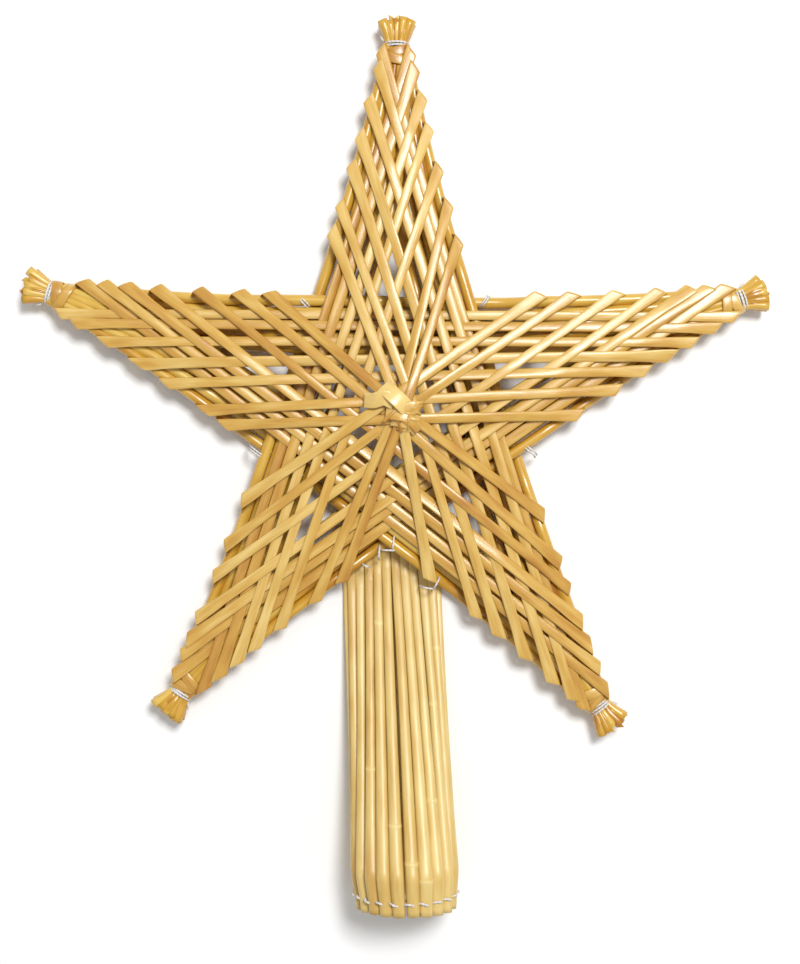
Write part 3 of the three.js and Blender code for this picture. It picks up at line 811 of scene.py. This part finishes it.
def socket_straw(i):
    """Rings of points along one socket straw, from the mouth upwards, in metres."""
    # its place in the ring, counted from the middle of the back, with each three straws closed up a little
    place = (i - 1 - 0.03 * (i % 3 - 1)) % SOCKET
    place -= SOCKET if place > 0.75 * SOCKET else 0
    bearing = -math.pi / 2 + 2 * math.pi * place / SOCKET
    lower = math.sin(bearing) < 0
    flat_x = (place if lower else SOCKET / 2 - place) * FLAT_PITCH
    flat_y = FLAT_Y - 0.75 * abs(flat_x)
    flat_z = FLAT_HALF_HIGH if lower else 3 * FLAT_HALF_HIGH + 0.3
    thick = rng.uniform(0.97, 1.03)
    sway, phase = rng.normal(0, 0.12), rng.uniform(0, 6.28)
    knees = [k for k in KNEES.get(i, [rng.uniform(-150, 120)]) if k < -60]
    rings, lengths = [], []
    near_knees = [k + np.array([-1.1, -0.5, -0.2, 0.2, 0.5, 1.1]) for k in knees]
    ys = np.sort(np.concatenate([
        np.linspace(RIM_Y + rng.uniform(0, 0.5), BELLY_Y, 8), np.linspace(BELLY_Y, flat_y, 56)[1:],
        np.linspace(flat_y, flat_y + TUCK, 5)[1:], *near_knees]))
    for y in ys:
        t = float(np.clip((y - BELLY_Y) / (flat_y - BELLY_Y), 0, 1))
        ring = BELLY_RADIUS if y > BELLY_Y else mix(RIM_RADIUS, BELLY_RADIUS, ease((y - RIM_Y) / (BELLY_Y - RIM_Y)))
        tight = ring / BELLY_RADIUS
        slim = 1 - (0.35 + 0.6 * math.cos(bearing) ** 2) * t * (1 - t)
        x = lean(y) + mix(ring * math.cos(bearing), flat_x, t) + sway * math.sin(math.pi * t) * math.sin(3 * t + phase)
        z = mix(RING_Z + ring * math.sin(bearing), flat_z, t)
        knee = sum(math.exp(-((y - k) / 0.45) ** 2) for k in knees)
        a = mix(STRAW_RADIUS * tight, FLAT_HALF, t) * slim * thick * (1 + 0.07 * knee)
        b = mix(STRAW_RADIUS * tight, FLAT_HALF_HIGH, t) * slim * thick * (1 + 0.07 * knee)
        turn = mix(bearing, round(bearing / EIGHTH) * EIGHTH, t)
        angle = turn - 2 * math.pi * (np.arange(SIDES) + 0.5) / SIDES
        # neighbours press each other a little square, the more the less they are pressed flat
        square = mix(0.8, 1.0, t)
        round_x, round_z = (np.sign(f) * np.abs(f) ** square for f in (np.cos(angle), np.sin(angle)))
        points = np.stack([x + a * round_x, np.full(SIDES, y), z + b * round_z], axis=1)
        points[:, 2] = np.maximum(points[:, 2], 0.0)
        rings.append(points * MM + flat(centre))
        lengths.append(y)
    return np.array(rings), np.array(lengths), knees


def tubes_object(name, tubes):
    """Rings of points as open tubes in one mesh."""
    verts, faces, grain, tone = [], [], [], []
    for rings, lengths, knees in tubes:
        first, tint, shift = len(verts), rng.uniform(0.15, 0.6), rng.uniform(0, 300)
        count, sides = rings.shape[:2]
        for ring, length in zip(rings, lengths):
            verts.extend(ring)
            around = (ring - ring.mean(axis=0)) * 1000
            grain.extend([(p[0] + shift, p[2], length + shift) for p in around])
            # a knee shows as a pale ring
            tone.extend([tint - 0.4 * sum(math.exp(-((length - k) / 0.6) ** 2) for k in knees)] * sides)
        faces.extend((first + r * sides + k, first + r * sides + (k + 1) % sides,
                      first + (r + 1) * sides + (k + 1) % sides, first + (r + 1) * sides + k)
                     for r in range(count - 1) for k in range(sides))
    obj = mesh_object(name, verts, faces, grain=np.array(grain), tone=np.array(tone))
    for polygon in obj.data.polygons:
        polygon.use_smooth = True
    return obj


for piece_number in range(SOCKET // 3):
    name = f"socket_ring_{piece_number + 1}"
    obj = tubes_object(name, [socket_straw(piece_number * 3 + k) for k in range(3)])
    obj.data.materials.append(socket_material)
    piece = baked(hollow(obj, SOCKET_WALL * MM), name)
    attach(piece, "root")
    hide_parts(f"socket_straws_{piece_number + 1}")
print("socket straws:", SOCKET, "from", RIM_Y, "to", FLAT_Y + TUCK, "mm")


# %% [markdown]
# ## Thread
#
# The thread is white cotton of two strands twisted together. A tube with two lobes that turns as it goes gives both strands
# at once, so the round straw tree does this too. Only its path changes: coils at the tips, stitches along the rim, and a few
# long stitches that sew the frame's corners and the socket.

# %% Thread material
cotton = bpy.data.materials.new("white_thread")
cotton.use_nodes = True
tree = cotton.node_tree
surface = tree.nodes["Principled BSDF"]
spin = add(tree, "ShaderNodeAttribute", attribute_name="grain")
spread = add(tree, "ShaderNodeMapping", {"Vector": spin.outputs["Vector"], "Scale": (9.0, 9.0, 3.0)})
fuzz = add(tree, "ShaderNodeTexNoise", {"Vector": spread.outputs[0], "Scale": 1.0, "Detail": 3.0})
shade = add(tree, "ShaderNodeMapRange", {"Value": fuzz.outputs["Fac"], "To Min": 0.0, "To Max": 1.0})
tint = add(tree, "ShaderNodeMix", {0: shade.outputs[0], 6: (0.62, 0.58, 0.53, 1), 7: (0.9, 0.88, 0.86, 1)},
           data_type="RGBA")
bumps = add(tree, "ShaderNodeBump", {"Strength": 0.5, "Distance": 0.00006, "Height": fuzz.outputs["Fac"]})
tree.links.new(tint.outputs[2], surface.inputs["Base Color"])
tree.links.new(bumps.outputs[0], surface.inputs["Normal"])
surface.inputs["Roughness"].default_value = 0.7
THREAD_TWIST = 2600.0          # turns of the two strands, in radians for each metre
TIE_THREAD, RIM_THREAD, CORNER_THREAD, SOCKET_THREAD = (r * MM for r in (0.34, 0.38, 0.3, 0.32))


def thread_object(name, paths, thickness):
    lines = [(np.array(path), [thickness] * len(path), rng.uniform(0, 1)) for path in paths]
    obj = paths_object(name, lines)
    use_tree(obj, round_straw, sides=8, lobes=0.22, twist=THREAD_TWIST, caps=True, material=cotton)
    piece = baked(obj, name)
    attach(piece, "root")
    return piece


def sampled(points, step=0.35 * MM):
    """A smooth curve through points, as many points a step apart."""
    points = np.array(points, dtype=float)
    spans = np.linalg.norm(np.diff(points, axis=0), axis=1)
    knots = np.concatenate([[0], np.cumsum(spans)])
    slopes = np.gradient(points, knots, axis=0)
    at = np.linspace(0, knots[-1], max(4, int(knots[-1] / step)))
    k = np.clip(np.searchsorted(knots, at, side="right") - 1, 0, len(knots) - 2)
    width = (knots[k + 1] - knots[k])[:, None]
    t = ((at - knots[k])[:, None]) / width
    a, b = points[k], points[k + 1]
    return ((2 * t**3 - 3 * t**2 + 1) * a + (t**3 - 2 * t**2 + t) * width * slopes[k]
            + (-2 * t**3 + 3 * t**2) * b + (t**3 - t**2) * width * slopes[k + 1])


# %% Ties at the tips
TIE_TURNS, TIE_STEPS = 4, 40
TIE_BREADTH = 1.9 * MM
TIE_REACH = (3.75 * MM, 3.15 * MM)      # across the bundle, and up
for tip in range(5):
    # the loops cross each other a little, as a hand winds them, and end in a short tail
    across, along = side(outward[tip]), outward[tip]
    path = []
    for step in range(TIE_TURNS * TIE_STEPS + 1):
        turn = step / TIE_STEPS
        angle = 2 * math.pi * turn
        shift = (turn / TIE_TURNS - 0.5) * TIE_BREADTH + 0.35 * MM * math.sin(angle * 0.5 + tip)
        grow = 1 + 0.03 * math.sin(angle * 0.37 + tip * 2)
        place = tips[tip] + across * TIE_REACH[0] * grow * math.cos(angle) + along * shift
        place[2] += TIE_REACH[1] * grow * math.sin(angle)
        path.append(place)
    end = path[-1]
    tail = [end, end + across * 0.9 * MM + along * 0.6 * MM + np.array([0, 0, 0.5 * MM]),
            end + across * 1.4 * MM + along * 1.8 * MM]
    piece = thread_object(f"thread_tie_{tip + 1}", [sampled(path), sampled(tail)], TIE_THREAD)
    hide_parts(f"tip_tie_{tip + 1}")
print("ties:", TIE_TURNS, "turns at each tip")

# %% The rim's twine, woven through the straws
# The straws are odd in number, so the first strand ends inside the ring where the second begins.
WAIST_Y = -158.5
WEAVE, DIP = STRAW_RADIUS + 0.28, 0.35  # how far the thread goes in and out of the ring, and to and fro along it
RIM_STEPS = SOCKET * 12
waist = mix(RIM_RADIUS, BELLY_RADIUS, ease((WAIST_Y - RIM_Y) / (BELLY_Y - RIM_Y)))
hub = flat(centre) + np.array([lean(WAIST_Y), WAIST_Y, RING_Z]) * MM
loops = []
for strand in (0, 1):
    path = []
    for angle in (2 * math.pi * step / RIM_STEPS for step in range(RIM_STEPS + 1)):
        radius = waist + WEAVE * math.cos(angle * SOCKET / 2 + strand * math.pi)
        dip = DIP * math.sin(angle * SOCKET + strand)
        path.append(hub + np.array([radius * math.cos(angle), dip, radius * math.sin(angle)]) * MM)
    loops.append(sampled(path))
piece = thread_object("rim_thread", loops, RIM_THREAD)
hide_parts("rim_twine")
print("rim thread:", len(loops), "strands through", SOCKET, "straws")


# %% [markdown]
# Where two bands meet at the star's inner corners, a short stitch holds them. At the bottom corner a few more stitches
# catch the socket's straws.

# %% Stitches at the corners
def star_point(x, y, z=0.0):
    """A place from the star's middle, in mm, as a point in metres."""
    return flat(centre) + np.array([x * MM, y * MM, z * MM])


OVER_FRAME = (frame_z + LAYER + ROD_RADIUS) * 1000 + 0.25   # height of a stitch, in mm
STITCH_DOWN = 1.0 * MM                                      # how far below the frame's middle its ends go


def stitch(x0, y0, x1, y1):
    """A thread over the frame from one place to another, down at both ends."""
    a, b = star_point(x0, y0), star_point(x1, y1)
    path = []
    for t in np.linspace(0, 1, 9):
        place = a * (1 - t) + b * t
        rise = 1 - abs(2 * t - 1) ** 4
        place[2] = mix(frame_z - STITCH_DOWN, OVER_FRAME * MM, rise)
        path.append(place)
    return sampled(path)


corner_stitches = [
    [stitch(-31.0, 36.6, -27.6, 33.2), stitch(-31.6, 36.0, -28.4, 32.6)],
    [stitch(28.6, 33.0, 31.4, 37.2), stitch(29.3, 32.8, 32.0, 36.8)],
    [stitch(-48.0, -12.6, -42.6, -16.6), stitch(-48.4, -13.4, -43.2, -17.2)],
    [stitch(42.8, -13.0, 47.2, -16.6), stitch(43.4, -12.4, 47.8, -15.8)],
]
thread_object("corner_stitches", [path for pair in corner_stitches for path in pair], CORNER_THREAD)
socket_stitches = [
    stitch(-4.6, -46.0, -4.9, -50.8), stitch(0.3, -42.2, -0.4, -48.0), stitch(-4.6, -47.4, 1.2, -47.6),
    stitch(8.8, -59.6, 13.6, -60.4), stitch(13.2, -60.6, 15.4, -56.4), stitch(-10.4, -52.2, -8.0, -53.2),
]
thread_object("socket_stitches", socket_stitches, SOCKET_THREAD)
print("stitches:", len(corner_stitches) * 2 + len(socket_stitches))


# %% [markdown]
# ## The knot in the middle
#
# The winding ends in the middle of the face: the last straw is folded twice over the crossing and its ends are pushed
# under. Short sheets with a fold each, and a few split ends, make it.

# %% Folded ends over the crossing
THIN_HALF = 0.22 * MM          # half the thickness of a straw pressed hard
SPLITS = 16
CLEAR = 0.4 * MM               # the lowest that a thin straw's middle lies over the table


def fold_sheet(name, path, width, tilt, tone):
    """A short pressed straw through points (x, y, rise over the winding), in mm from the star's middle."""
    points = sampled([star_point(x, y, crown + rise) for x, y, rise in path], 0.4 * MM)
    rows = []
    for k, point in enumerate(points):
        ahead = points[min(k + 1, len(points) - 1)] - points[max(k - 1, 0)]
        left = side(unit(flat(ahead)))
        row = point + left * COLUMNS[:, None] * width / 2 * MM
        row[:, 2] += COLUMNS * math.tan(math.radians(tilt)) * width / 2 * MM
        rows.append(row)
    return pressed(name, rows, tone, wound_material, THIN_HALF, ends=(0.6, 0.6))


hub_x, hub_y = HUB_AT[0], HUB_AT[1]
spots = np.array([star_point(hub_x + dx, hub_y + dy) for dx in range(-4, 5, 2) for dy in range(-4, 5, 2)])
crown = float(heights[cell(spots)].max()) * 1000 + 0.3      # just over the winding, in mm
# Each: points of its middle line, as x, y and rise over the winding, then width, tilt in degrees, and tone.
knot_paths = [
    ([(-9.4, 1.6, -1.6), (-6.2, 1.4, 0.2), (-3.0, 2.2, 1.0), (0.4, 0.8, 0.7)], 5.0, 10, 0.0),
    ([(-3.2, 6.4, -1.0), (-0.8, 4.0, 1.2), (2.8, 0.6, 1.5), (5.0, -1.8, 0.2)], 5.4, -16, 0.0),
    ([(0.4, -2.2, 0.6), (4.2, -1.4, 1.0), (8.2, -0.9, 0.2), (9.0, -1.2, -1.4)], 4.2, 6, 0.45),
    ([(-2.4, -2.4, -0.6), (1.4, -2.9, 0.7), (5.2, -3.8, 0.6), (8.4, -5.0, -1.0)], 4.4, -8, 0.4),
    ([(-0.6, -4.6, -1.2), (2.4, -5.2, 0.2), (5.8, -6.2, 0.2), (8.0, -8.6, -1.6)], 4.2, 10, 0.35),
    ([(1.2, -6.2, -1.6), (4.0, -7.2, -0.4), (7.2, -7.0, -0.8)], 3.2, 20, 0.3),
]
parts = [fold_sheet(f"knot_{k}", path, width, tilt, tone) for k, (path, width, tilt, tone) in enumerate(knot_paths)]
for k in range(SPLITS):
    angle, length = rng.uniform(-2.6, 0.9), rng.uniform(3.0, 6.5)
    x0, y0 = hub_x + rng.uniform(-2.2, 2.6), hub_y + rng.uniform(-3.4, 0.6)
    path = [(x0 + length * share * math.cos(angle), y0 + length * share * math.sin(angle), rng.uniform(*rise))
            for share, rise in ((0, (0.2, 0.9)), (0.5, (0.3, 1.2)), (1, (-0.8, 0.6)))]
    width, tilt, tone = rng.uniform(0.5, 1.3), rng.uniform(-30, 30), rng.uniform(0.3, 0.9)
    parts.append(fold_sheet(f"knot_split_{k}", path, width, tilt, tone))


def joined(objects, name):
    with bpy.context.temp_override(active_object=objects[0], selected_editable_objects=objects):
        bpy.ops.object.join()
    objects[0].name = objects[0].data.name = name
    return objects[0]


piece = joined(parts, "knot_of_ends")
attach(piece, "root")
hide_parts("hub_knot")
print("knot at", round(crown, 1), "mm of", len(knot_paths), "folded ends and", SPLITS, "split ones")


# %% [markdown]
# The winding begins at each tip: two turns of a broad straw go round the bundle next to the tie, askew to each other.

# %% First turns at the tips
TURNS = ((2.9, 0.28), (5.4, -0.3))      # each: how far inwards from the tie, in mm, and how askew
TURN_HALF_WIDTH = 1.7 * MM
for tip in range(5):
    inward, across = -outward[tip], side(outward[tip])
    turns = []
    for k, (distance, askew) in enumerate(TURNS):
        # the bundle fans out as it goes inwards
        half_wide, half_high = 3.9 + 0.198 * distance, 3.2 + 0.25 * (k + 1)
        rows = []
        for angle in np.linspace(0.1, 2 * math.pi + 0.5, 56):
            wide, high = (math.copysign(abs(f) ** 0.8, f) for f in (math.cos(angle), math.sin(angle)))
            mid = tips[tip] + (inward * (distance + askew * half_wide * math.cos(angle)) + across * half_wide * wide) * MM
            mid[2] += half_high * high * MM
            row = mid + COLUMNS[:, None] * (inward * TURN_HALF_WIDTH + across * 0.25 * wide * MM)
            row[:, 2] = np.maximum(row[:, 2], CLEAR)
            rows.append(row)
        turns.append(pressed(f"turn_{tip}_{k}", rows, rng.uniform(0.3, 0.75), wound_material, THIN_HALF))
    piece = joined(turns, f"first_turns_{tip + 1}")
    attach(piece, "root")
print("first turns:", len(TURNS), "at each tip")


# %% [markdown]
# ## Tufts
#
# Past each tie the bundle's ends spread, flattened by the cutting. Short slanted slips among the round ends give the tuft
# its ragged, full look.

# %% Cut slips in the tufts
SLIPS = 14                     # in each tuft, half of them above its middle
SLIP_HALF = 0.2 * MM
for tip in range(5):
    across, along = side(outward[tip]), outward[tip]
    slips = []
    for k in range(SLIPS):
        spread, layer = (k % 7 - 3) / 3.0, (k // 7) * 2 - 1     # from -1 to 1 across, and -1 or 1 in height
        base = tips[tip] + across * spread * 2.3 * MM + along * 0.8 * MM
        base[2] += layer * (2.5 - 1.2 * abs(spread)) * MM
        reach = rng.uniform(5.4, 8.4) * MM
        end = base + along * reach + across * spread * 2.6 * MM
        end[2] += layer * rng.uniform(0.2, 1.0) * MM
        middle_ = (base + end) / 2
        middle_[2] += layer * 0.35 * MM
        width, turn = rng.uniform(1.5, 2.4) * MM, rng.uniform(-0.5, 0.5)
        points = sampled([base, middle_, end], 0.8 * MM)
        roll_ = turn + spread * 0.5
        lie = side(unit(flat(end - base))) * math.cos(roll_) + np.array([0, 0, 1]) * math.sin(roll_)
        slant = unit(end - base) * 0.35 * (1 if k % 2 else -1)   # the cut at its end
        rows = np.array([point + COLUMNS[:, None] * width * (lie / 2 * (0.6 + 0.4 * f) + slant * f)
                         for point, f in zip(points, np.linspace(0, 1, len(points)))])
        rows[..., 2] = np.maximum(rows[..., 2], CLEAR)
        slips.append(pressed(f"slip_{tip}_{k}", rows, rng.uniform(0.2, 0.95), frame_material, SLIP_HALF, ends=(0.6, 0.2)))
    piece = joined(slips, f"tuft_{tip + 1}")
    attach(piece, "root")
print("tufts:", SLIPS, "slips at each tip")


# %% [markdown]
# ## Light, floor and camera
#
# The star lies on a white table under one soft light, with white all round. The light stands high, above the top arm and
# a little to the right, so each straw that leans that way shines. The camera looks straight down from about half a metre.

# %% Floor
bpy.ops.mesh.primitive_plane_add(size=6.0, location=(0, 0, -0.0004))
floor = bpy.context.object
floor.name = "table"
paper = bpy.data.materials.new("table")
paper.use_nodes = True
tree = paper.node_tree
surface = tree.nodes["Principled BSDF"]
surface.inputs["Base Color"].default_value = (0.93, 0.93, 0.93, 1)
surface.inputs["Roughness"].default_value = 0.9
surface.inputs["Specular IOR Level"].default_value = 0.1
clear = add(tree, "ShaderNodeBsdfTransparent")
back_side = add(tree, "ShaderNodeNewGeometry")
both = add(tree, "ShaderNodeMixShader", {0: back_side.outputs["Backfacing"], 1: surface.outputs[0], 2: clear.outputs[0]})
tree.links.new(both.outputs[0], tree.nodes["Material Output"].inputs["Surface"])
floor.data.materials.append(paper)

# %% Lights and world
scene = bpy.context.scene
scene.view_settings.view_transform = "Standard"
world = bpy.data.worlds.new("studio")
world.use_nodes = True
world.node_tree.nodes["Background"].inputs["Color"].default_value = (1, 1, 1, 1)
world.node_tree.nodes["Background"].inputs["Strength"].default_value = 0.5
scene.world = world


def area_light(name, at, size, power, target=(0, 0, 0)):
    light = bpy.data.lights.new(name, "AREA")
    light.shape, light.size, light.size_y, light.energy = "RECTANGLE", size[0], size[1], power
    obj = bpy.data.objects.new(name, light)
    obj.location = at
    obj.rotation_euler = (Vector(target) - Vector(at)).to_track_quat("-Z", "Y").to_euler()
    scene.collection.objects.link(obj)
    return obj


area_light("key", (0.26, 0.38, 1.1), (0.3, 0.3), 11.5)

# %% Camera
lens = bpy.data.cameras.new("camera")
lens.sensor_width, lens.lens, lens.clip_start = 36.0, 58.6, 0.05
camera = bpy.data.objects.new("camera", lens)
camera.location = (1.55 * MM, -8.2 * MM, frame_z + 523 * MM)
scene.collection.objects.link(camera)
scene.camera = camera
